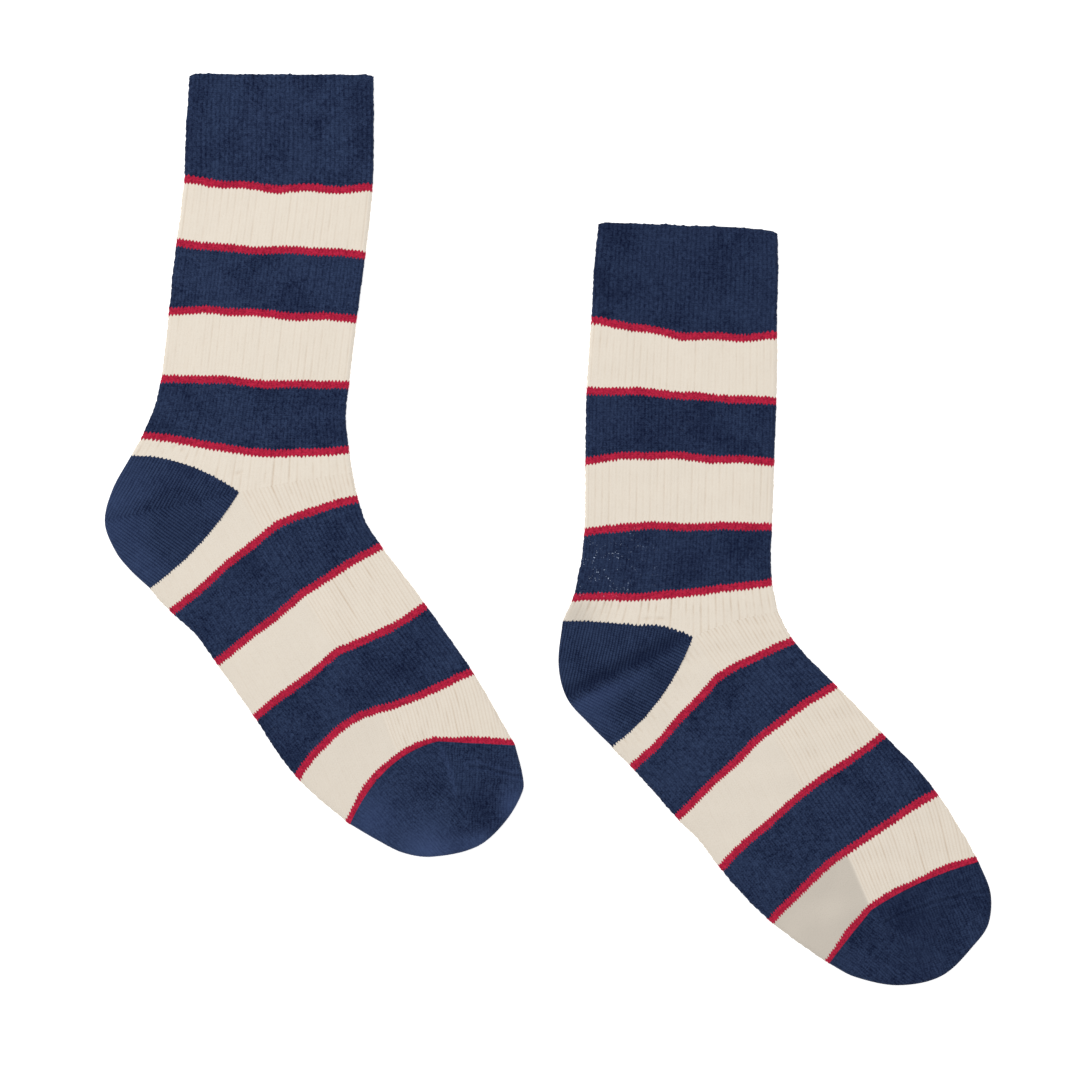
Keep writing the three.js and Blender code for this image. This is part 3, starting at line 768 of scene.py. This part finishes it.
def pocket_knit(points, corner, first_end, second_end):
    """Wales square to the nearer of two boundaries that start at a corner, each given by a point on it."""
    first = (first_end - corner) / np.linalg.norm(first_end - corner)
    second = (second_end - corner) / np.linalg.norm(second_end - corner)
    away = points - corner
    along_first = away @ first
    along_second = away @ second
    use_first = along_first > along_second
    wale = np.where(use_first, along_first, along_second) / POCKET_WALE
    off = np.where(use_first, away[..., 0] * first[1] - away[..., 1] * first[0],
                   away[..., 0] * second[1] - away[..., 1] * second[0])
    bisector = (first - second) / np.linalg.norm(first - second)
    return wale, np.abs(off) / COURSE_HEIGHT, away @ bisector


def heel_piece(sock, leg, foot, materials):
    upper_t = leg.at("heel start")
    lower_t = foot.at("heel end")
    upper_split = float(leg.split(upper_t))
    lower_split = float(foot.split(lower_t))
    far = np.array(sock["heel_edge"])
    corner = leg.point(upper_t, upper_split)
    wall = float(foot.wall(lower_t))
    half = wall + SLIT / 2
    v = np.linspace(0, 1, HEEL_ROWS + 1)
    seed = seed_of(sock, 51)

    def boundary(tube, at, split, w):
        return tube.point(np.full_like(w, at), split * (1 - w))

    ends = (boundary(leg, upper_t, upper_split, np.ones(1))[0],
            boundary(foot, lower_t, lower_split, np.ones(1))[0])
    fold = curve_through([ends[0], *far, ends[1]], HEEL_ROWS + 1)
    on_upper = boundary(leg, upper_t, upper_split, np.array([WALE_AIM]))[0]
    on_lower = boundary(foot, lower_t, lower_split, np.array([WALE_AIM]))[0]

    def plan(w):
        upper = boundary(leg, upper_t, upper_split, w)
        lower = boundary(foot, lower_t, lower_split, w)
        blend = w[None, :, None]
        ray = corner + blend * (fold[:, None, :] - corner)
        upper_bulge = upper - (corner + w[:, None] * (ends[0] - corner))
        lower_bulge = lower - (corner + w[:, None] * (ends[1] - corner))
        weight = v[:, None, None]
        return ray + (1 - weight) ** 2 * upper_bulge[None] + weight ** 2 * lower_bulge[None]

    piece = Piece()

    def sheet(radius, steps):
        angles = np.radians(np.linspace(0, 90, FOLD_STEPS, endpoint=False))
        w_fold = 1 - (half - radius * np.cos(angles)) / HEEL_DEPTH
        w_flat = np.linspace(0, w_fold[-1], steps, endpoint=False)
        w_top = np.concatenate([w_flat, w_fold[::-1]])
        z_top = np.concatenate([np.full(steps, radius), (radius * np.sin(angles))[::-1]])
        w = np.concatenate([w_top, w_top[-2::-1]])
        z = np.concatenate([z_top, -z_top[-2::-1]])
        top = np.concatenate([np.ones(len(w_top)), np.zeros(len(w_top) - 1)])
        flat = plan(w)
        wale, course, across = pocket_knit(flat, corner, on_upper, on_lower)
        fade = np.clip(np.linalg.norm(flat - corner, axis=-1) / 12.0, 0, 1)
        inside = np.clip(np.abs(z) / radius, 0, 1) ** 2
        mitre = bell(across, 1.1) * fade
        valley = bell(across - 2.0, 3.5) * fade
        ridge = bell(across + 6.0, 5.0) * fade
        relief = -0.15 * mitre - sock["fold"] * (1.1 * valley - 0.6 * ridge) + slow_waves(flat, seed)
        relief = np.where(top > 0, relief, np.minimum(relief, 0) * UNDERSIDE_SHARE) * inside
        if radius < half:
            relief = relief * 0
        height = half + z + np.where(top > 0, relief, -relief)
        points = np.concatenate([flat, height[..., None]], axis=-1)
        # Painted highlight along the fold's ridge and painted shade in its valley, over the heel's painted
        # patches; the furrow field paints shade along the mitre
        pale = pale_patches(flat, sock["heel_pale"]) + sock["fold"] * (0.4 * ridge - 0.95 * valley)
        index = piece.add(points, band=BAND_STEP / 2, wale=wale, course=course,
                          furrow=0.4 * mitre, lint=LINT_ON_POCKETS, pale=pale)
        index[:, 0] = index[0, 0]
        index[:, -1] = index[0, -1]
        return index

    outer = sheet(half, HEEL_STEPS)
    inner = sheet(SLIT / 2, HEEL_STEPS)
    piece.grid_faces(outer)
    piece.grid_faces(inner, flip=True)
    piece.quads(outer[0, :-1], inner[0, :-1], inner[0, 1:], outer[0, 1:])
    piece.quads(outer[-1, :-1], inner[-1, :-1], inner[-1, 1:], outer[-1, 1:], flip=True)
    piece.crease(outer[0])
    piece.crease(outer[-1])
    return finish_piece(sock, "heel", piece, materials)


def both_faces(field):
    """A field of the top face carried on round the underside, back to where it starts."""
    return np.concatenate([field, field[:, -2:0:-1]], axis=1)


def toe_piece(sock, foot, materials):
    start_t = foot.at("toe start")
    fields = foot.fields(start_t)
    split = float(fields[SPLIT])
    wall = float(fields[WALL])
    half = wall + SLIT / 2
    seed = seed_of(sock, 61)
    back = foot.point(start_t, 0.0)
    front = foot.point(start_t, 1.0)
    corner = foot.point(start_t, split)
    outline = curve_through([back, *sock["toe_edge"], front], TOE_OUTLINE_POINTS)
    shares = np.linspace(0, 1, TOE_OUTLINE_POINTS)
    seam = curve_through(sock["toe_seam"], 40)
    gore = curve_through(sock["toe_gore"], 30)

    def on_outline(share):
        return np.stack([np.interp(share, shares, outline[:, k]) for k in range(2)], axis=-1)

    def row(share, u):
        begin = on_outline(share)
        finish = on_outline(1 - share)
        fade = 1 - share / 0.5
        values = np.stack([
            begin[..., 0], begin[..., 1], finish[..., 0], finish[..., 1],
            np.full_like(share, split),
            *(bow * fade for bow in fields[SPLIT + 1:WALL]),
        ], axis=-1)
        return Tube._plan(values, u)

    piece = Piece()

    def shell(last, rows, count, radius, inset):
        share = np.linspace(0, last, rows + 1)[:, None]
        even = np.linspace(0, 1, count)
        u = 0.82 * even + 0.18 * (0.5 - 0.5 * np.cos(math.pi * even))
        low = np.zeros_like(share)
        high = np.ones_like(share)
        if inset:
            tries = np.linspace(0, 0.5, 400)
            for k in range(rows + 1):
                one = np.full(len(tries), share[k, 0])
                depth = polyline_distance(row(one, tries), outline)
                low[k, 0] = tries[np.argmax(depth >= wall)]
                depth = polyline_distance(row(one, 1 - tries), outline)
                high[k, 0] = 1 - tries[np.argmax(depth >= wall)]
        across = low + (high - low) * u
        flat = row(np.broadcast_to(share, across.shape).copy(), across)
        short = np.maximum(0, half - polyline_distance(flat, outline))
        z = np.sqrt(np.maximum(0, radius ** 2 - short ** 2))
        z[:, 0] = 0
        z[:, -1] = 0
        wale, course, _ = pocket_knit(flat, corner, front, back)
        seam_gap = polyline_distance(flat, seam)
        uneven = soft_noise(flat[..., 0] / 3.0, flat[..., 1] / 3.0, seed + 5)
        groove = bell(seam_gap, 0.6) * (0.75 + 0.25 * uneven)
        lip = bell(seam_gap - 1.5, 0.9)
        ridge = bell(polyline_distance(flat, gore), 1.4)
        inside = np.clip(z / radius, 0, 1) ** 2
        relief = -0.5 * groove + 0.3 * lip + 0.6 * ridge + slow_waves(flat, seed)
        if inset:
            relief = relief * 0
        top_z = z + relief * inside
        under_z = -(z + np.minimum(relief, 0) * UNDERSIDE_SHARE * inside)
        z_ring = np.concatenate([top_z, under_z[:, -2:0:-1]], axis=1)
        points = np.concatenate([both_faces(flat), (half + z_ring)[..., None]], axis=-1)
        # Painted highlight on the lip above the seam and along the gore's ridge, over the toe's painted
        # patches; the furrow field paints shade in the seam's groove
        pale = pale_patches(flat, sock["toe_pale"]) + 0.25 * lip + 0.35 * ridge
        index = piece.add(points, band=BAND_STEP * 10.5, wale=both_faces(wale),
                          course=both_faces(course), furrow=both_faces(1.6 * groove),
                          lint=LINT_ON_POCKETS, pale=both_faces(pale))
        along = np.concatenate([u, 2 - u[-2:0:-1]]) * UNITS_ROUND / 2
        return index, along

    outer, outer_along = shell(TOE_LAST_SHARE, TOE_ROWS, TOE_STEPS, half, False)
    inner, inner_along = shell(TOE_INNER_LAST_SHARE, TOE_INNER_ROWS, TOE_INNER_STEPS, SLIT / 2, True)
    piece.tube_faces(outer)
    piece.tube_faces(inner, flip=True)
    for grid, inset, flip in ((outer, 0.0, False), (inner, wall, True)):
        tip = on_outline(np.array([0.5]))[0]
        inwards = corner - tip
        tip = tip + inwards / np.linalg.norm(inwards) * inset
        point = piece.add(np.array([[tip[0], tip[1], half]]), band=BAND_STEP * 10.5)
        piece.fan(grid[-1], point[0], flip)
    piece.rim(outer[0], outer_along, inner[0], inner_along)
    piece.crease_ring(outer[0])
    return finish_piece(sock, "toe", piece, materials)


def finish_piece(sock, part, piece, materials):
    node = f"{sock['name']}_{part}"
    built = piece.build(f"knit_{node}", sock["place"], materials[part], sock["shade"].get(part, 0.0))
    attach(built, "root")
    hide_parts(node)
    return built


# Materials

class Nodes:
    """Short ways to wire a material."""

    def __init__(self, name):
        self.material = bpy.data.materials.new(name)
        self.material.use_nodes = True
        self.tree = self.material.node_tree
        self.tree.nodes.clear()
        self.output = self.tree.nodes.new("ShaderNodeOutputMaterial")
        self.shader = self.tree.nodes.new("ShaderNodeBsdfPrincipled")
        self.tree.links.new(self.shader.outputs[0], self.output.inputs[0])

    def _feed(self, socket, value):
        if isinstance(value, bpy.types.NodeSocket):
            self.tree.links.new(value, socket)
        else:
            socket.default_value = value

    def math(self, operation, a, b=0.0, c=0.0):
        node = self.tree.nodes.new("ShaderNodeMath")
        node.operation = operation
        for socket, value in zip(node.inputs, (a, b, c)):
            self._feed(socket, value)
        return node.outputs[0]

    def field(self, name):
        node = self.tree.nodes.new("ShaderNodeAttribute")
        node.attribute_name = name
        return node.outputs["Fac"]

    def place(self):
        return self.tree.nodes.new("ShaderNodeTexCoord").outputs["Object"]

    def noise(self, vector, scale, detail=2.0, roughness=0.5):
        node = self.tree.nodes.new("ShaderNodeTexNoise")
        self._feed(node.inputs["Vector"], vector)
        node.inputs["Scale"].default_value = scale
        node.inputs["Detail"].default_value = detail
        node.inputs["Roughness"].default_value = roughness
        return node.outputs["Fac"]

    def combine(self, x, y, z=0.0):
        node = self.tree.nodes.new("ShaderNodeCombineXYZ")
        for socket, value in zip(node.inputs, (x, y, z)):
            self._feed(socket, value)
        return node.outputs[0]

    def remap(self, value, low, high, to_low=0.0, to_high=1.0):
        node = self.tree.nodes.new("ShaderNodeMapRange")
        node.clamp = True
        for socket, item in zip(node.inputs, (value, low, high, to_low, to_high)):
            self._feed(socket, item)
        return node.outputs[0]

    def mix(self, share, a, b, blend="MIX"):
        node = self.tree.nodes.new("ShaderNodeMix")
        node.data_type = "RGBA"
        node.blend_type = blend
        self._feed(node.inputs[0], share)
        self._feed(node.inputs[6], a)
        self._feed(node.inputs[7], b)
        return node.outputs[2]


def linear(red, green, blue):
    """A colour given as 0 to 255, as light."""
    def one(value):
        share = value / 255.0
        return share / 12.92 if share <= 0.04045 else ((share + 0.055) / 1.055) ** 2.4
    return (one(red), one(green), one(blue), 1.0)


# Yarn colours, 0 to 255 before the light falls on them

# NAVY_DARK, NAVY_LIGHT, CREAM_DARK and RED_DARK give the yarn's marl and streaks, and also painted shade and
# painted highlight of the stitches, wales, furrows and folds; NAVY_PALE gives paler tone and painted
# highlight
NAVY = linear(24, 34, 58)
NAVY_LIGHT = linear(48, 62, 91)
NAVY_DARK = linear(6, 13, 37)
NAVY_PALE = linear(60, 76, 114)
CREAM = linear(212, 203, 190)
CREAM_DARK = linear(186, 167, 146)
GREY_CREAM = linear(184, 176, 165)
RED = linear(180, 36, 64)
RED_DARK = linear(116, 14, 38)
LINT = linear(190, 205, 232)


def knit_material(name, stitch_bump, painted_wale_shading, wander, broken, fuzz):
    """Yarn colours from the band field, with stitches, streaks and lint, and with painted shade and painted
    highlight.

    stitch_bump is the strength of the bump and painted_wale_shading that of the painted shade between the
    wales and the painted highlight along them. wander bends the wales, broken interrupts them and fuzz hides
    the stitches under loose fibres.
    """
    n = Nodes(name)
    band = n.field("band")
    wale = n.field("wale")
    course = n.field("course")
    furrow = n.field("furrow")
    pale = n.field("pale")
    place = n.place()

    drift = n.math("MULTIPLY", n.math("SUBTRACT", n.noise(place, 120.0, 2.0), 0.5), wander)
    in_wale = n.math("FRACT", n.math("ADD", wale, drift))
    off_centre = n.math("MULTIPLY", n.math("ABSOLUTE", n.math("SUBTRACT", in_wale, 0.5)), 2.0)

    # Knit stitches: two slanting legs that meet in the middle of a wale
    slanted = n.math("ADD", course, n.math("MULTIPLY", off_centre, -0.55))
    wobble = n.noise(place, 900.0, 2.0)
    uneven = n.math("ADD", slanted, n.math("MULTIPLY", wobble, 0.5))
    beat = n.math("SINE", n.math("MULTIPLY", uneven, math.tau))
    body = n.math("SUBTRACT", 1.0, n.math("POWER", off_centre, 3.0))
    stitch = n.math("MULTIPLY", n.math("ADD", n.math("MULTIPLY", beat, 0.35), 0.65), body)

    # Colour changes step from stitch to stitch, so their edges have teeth
    ragged = n.noise(place, 420.0, 2.0)
    tooth = n.math("ADD", n.math("MULTIPLY", n.math("SUBTRACT", off_centre, 0.5), -1.0),
                   n.math("MULTIPLY", n.math("SUBTRACT", ragged, 0.5), 1.6))
    here = n.math("ADD", band, tooth)
    tens = n.math("DIVIDE", here, BAND_STEP)
    nearest = n.math("MULTIPLY", n.math("ROUND", tens), BAND_STEP)
    off_line = n.math("ABSOLUTE", n.math("SUBTRACT", here, nearest))
    is_line = n.remap(off_line, LINE_HALF_WIDTH - 0.12, LINE_HALF_WIDTH + 0.12, 1.0, 0.0)
    is_cream = n.math("MODULO", n.math("FLOOR", tens), 2.0)

    # Teeth of the heel's navy on the cream beside it
    edge = n.math("ADD", n.field("edge"), n.math("MULTIPLY", tooth, 1.1))
    heel_tooth = n.remap(edge, 3.75, 3.95)
    is_cream = n.math("MULTIPLY", is_cream, n.math("SUBTRACT", 1.0, heel_tooth))

    # Unevenness of the yarn, from single fibres up to soft clouds
    long_in_wale = n.combine(n.math("MULTIPLY", wale, 0.9), n.math("MULTIPLY", course, 0.045))
    streaks = n.noise(long_in_wale, 1.0, 3.0, 0.6)
    fibres = n.noise(place, 1400.0, 3.0, 0.65)
    nap = n.noise(place, 640.0, 2.0, 0.6)
    clouds = n.noise(place, 55.0, 3.0, 0.55)
    loose = n.math("ADD", n.math("MULTIPLY", fibres, 0.7 + 0.25 * fuzz),
                   n.math("MULTIPLY", nap, 0.5 + 0.2 * fuzz))
    loft = n.math("ADD", n.math("MULTIPLY", stitch, 0.4 * (1 - fuzz)), loose)
    short_in_wale = n.combine(n.math("MULTIPLY", wale, 0.8), n.math("MULTIPLY", course, 0.2))
    strokes = n.remap(n.noise(short_in_wale, 1.0, 2.0), 0.4, 0.6, 1.0 - broken, 1.0)
    patchy = n.math("MULTIPLY", n.remap(n.noise(place, 105.0, 2.0), 0.36, 0.62, 0.25, 1.0), strokes)
    # Painted shade between the wales and painted highlight along their middles
    between = n.math("MULTIPLY", n.math("POWER", off_centre, 2.5), n.math("MULTIPLY", patchy, painted_wale_shading))
    along = n.math("MULTIPLY", n.math("SUBTRACT", 1.0, off_centre),
                   n.math("MULTIPLY", patchy, painted_wale_shading * 0.7))

    # Dark yarn: marled, painted lighter on the stitches' tops and darker in their hollows as painted
    # highlight and painted shade, with soft cloudy patches lighter and darker at random
    navy = n.mix(n.remap(loft, 0.62, 1.0), NAVY_DARK, NAVY_LIGHT)
    navy = n.mix(0.15, navy, NAVY)
    navy = n.mix(n.remap(clouds, 0.42, 0.72, 0.0, 0.3), navy, NAVY_LIGHT)
    navy = n.mix(n.remap(clouds, 0.3, 0.5, 0.3, 0.0), navy, NAVY_DARK)
    navy = n.mix(n.remap(streaks, 0.35, 0.62, 0.2, 0.0), navy, NAVY_DARK)
    # The pale field: the part's yarn tone, with painted highlight and painted shade on the heels and toes
    navy = n.mix(n.remap(pale, 0.0, 1.0, 0.0, 0.6), navy, NAVY_PALE)
    navy = n.mix(n.remap(pale, -1.0, 0.0, 0.6, 0.0), navy, NAVY_DARK)
    # Painted shade between the wales and painted highlight along them
    navy = n.mix(between, navy, NAVY_DARK)
    navy = n.mix(along, navy, NAVY_LIGHT)
    # Painted shade in the furrows, creases, gathers, mitre and toe seam
    navy = n.mix(n.math("MULTIPLY", furrow, 0.16), navy, NAVY_DARK)

    # Painted shade in the stitches' hollows, over the fibres' marl
    cream = n.mix(n.remap(loft, 0.5, 0.85, 0.14, 0.0), CREAM, CREAM_DARK)
    cream = n.mix(n.remap(streaks, 0.3, 0.55, 0.08, 0.0), cream, CREAM_DARK)
    # Painted shade in the furrows and between the wales
    cream = n.mix(n.math("MULTIPLY", furrow, 0.26), cream, CREAM_DARK)
    cream = n.mix(n.math("MULTIPLY", between, 0.7), cream, CREAM_DARK)
    cream = n.mix(n.field("grey"), cream, GREY_CREAM)

    # Red: darker in the stitches' hollows as painted shade, over the heathered yarn's own marl
    red = n.mix(n.remap(loft, 0.6, 1.0), RED_DARK, RED)
    red = n.mix(0.1, red, RED)

    colour = n.mix(is_cream, navy, cream)
    colour = n.mix(is_line, colour, red)

    # Loose fibres, only on the dark yarn
    specks = n.noise(place, 1500.0, 1.0, 0.4)
    rare = n.noise(place, 210.0, 1.0, 0.5)
    speck = n.math("MULTIPLY", n.remap(specks, 0.68, 0.74), n.remap(rare, 0.5, 0.58))
    speck = n.math("MULTIPLY", speck, n.field("lint"))
    speck = n.math("MULTIPLY", speck, n.math("SUBTRACT", 1.0, is_cream))
    colour = n.mix(speck, colour, LINT)

    n.tree.links.new(colour, n.shader.inputs["Base Color"])
    n.shader.inputs["Roughness"].default_value = 0.95
    n.shader.inputs["Specular IOR Level"].default_value = 0.05
    n.shader.inputs["Sheen Weight"].default_value = 0.06
    n.shader.inputs["Sheen Roughness"].default_value = 0.4
    n.shader.inputs["Sheen Tint"].default_value = (0.72, 0.8, 1.0, 1.0)

    bump = n.tree.nodes.new("ShaderNodeBump")
    bump.inputs["Strength"].default_value = stitch_bump
    bump.inputs["Distance"].default_value = 0.3 * MM
    n.tree.links.new(loft, bump.inputs["Height"])
    n.tree.links.new(bump.outputs[0], n.shader.inputs["Normal"])
    return n.material


def knit_materials():
    return {
        "cuff": knit_material(SLOTS["cuff"], 0.55, painted_wale_shading=0.12, wander=0.5, broken=0.8, fuzz=0.6),
        "leg": knit_material(SLOTS["leg"], 0.5, painted_wale_shading=0.12, wander=0.4, broken=0.7, fuzz=0.6),
        "heel": knit_material(SLOTS["heel"], 0.6, painted_wale_shading=0.62, wander=0.6, broken=0.45, fuzz=0.0),
        "foot": knit_material(SLOTS["foot"], 0.5, painted_wale_shading=0.1, wander=0.4, broken=0.6, fuzz=0.55),
        "toe": knit_material(SLOTS["toe"], 0.6, painted_wale_shading=0.36, wander=2.8, broken=1.0, fuzz=0.5),
    }


# Stage

def add_floor():
    n = Nodes("floor_paper")
    place = n.place()
    grain = n.noise(place, 300.0, 3.0)
    paper = n.mix(n.remap(grain, 0.4, 0.6, 0.0, 1.0), (0.93, 0.93, 0.93, 1), (0.95, 0.95, 0.95, 1))
    n.tree.links.new(paper, n.shader.inputs["Base Color"])
    n.shader.inputs["Roughness"].default_value = 0.95
    n.shader.inputs["Specular IOR Level"].default_value = 0.1
    n.shader.inputs["Emission Color"].default_value = (1.0, 1.0, 1.0, 1.0)
    n.shader.inputs["Emission Strength"].default_value = FLOOR_GLOW
    size = FLOOR_HALF_SIZE
    mesh = bpy.data.meshes.new("floor")
    corners = [(-size, -size, 0), (size, -size, 0), (size, size, 0), (-size, size, 0)]
    mesh.from_pydata(corners, [], [(0, 1, 2, 3)])
    mesh.materials.append(n.material)
    floor = bpy.data.objects.new("floor", mesh)
    floor.location.z = -FLOOR_GAP * MM
    bpy.context.collection.objects.link(floor)


def add_area_light(name, location, size, power, colour):
    data = bpy.data.lights.new(name, "AREA")
    data.shape = "SQUARE"
    data.size = size
    data.energy = power
    data.color = colour
    light = bpy.data.objects.new(name, data)
    light.location = location
    aim = -np.array(location) / np.linalg.norm(location)
    light.rotation_euler = (math.acos(-aim[2]), 0, math.atan2(aim[1], aim[0]) - math.pi / 2)
    bpy.context.collection.objects.link(light)


def add_lights():
    world = bpy.data.worlds.new("studio")
    world.use_nodes = True
    background = world.node_tree.nodes["Background"]
    background.inputs["Color"].default_value = (1.0, 1.0, 1.0, 1.0)
    background.inputs["Strength"].default_value = SKY_STRENGTH
    bpy.context.scene.world = world
    add_area_light("key", KEY_PLACE, KEY_SIZE, KEY_POWER, KEY_COLOUR)
    bpy.context.scene.view_settings.view_transform = "Standard"


def build_sock(sock, materials):
    leg = Tube(sock["leg"])
    foot = Tube(sock["foot"])
    cuff_piece(sock, leg, materials)
    leg_piece(sock, leg, materials)
    heel_piece(sock, leg, foot, materials)
    foot_piece(sock, leg, foot, materials)
    toe_piece(sock, foot, materials)


add_camera()
add_floor()
add_lights()
knit = knit_materials()
for each_sock in (SOCK_A, SOCK_B):
    build_sock(each_sock, knit)
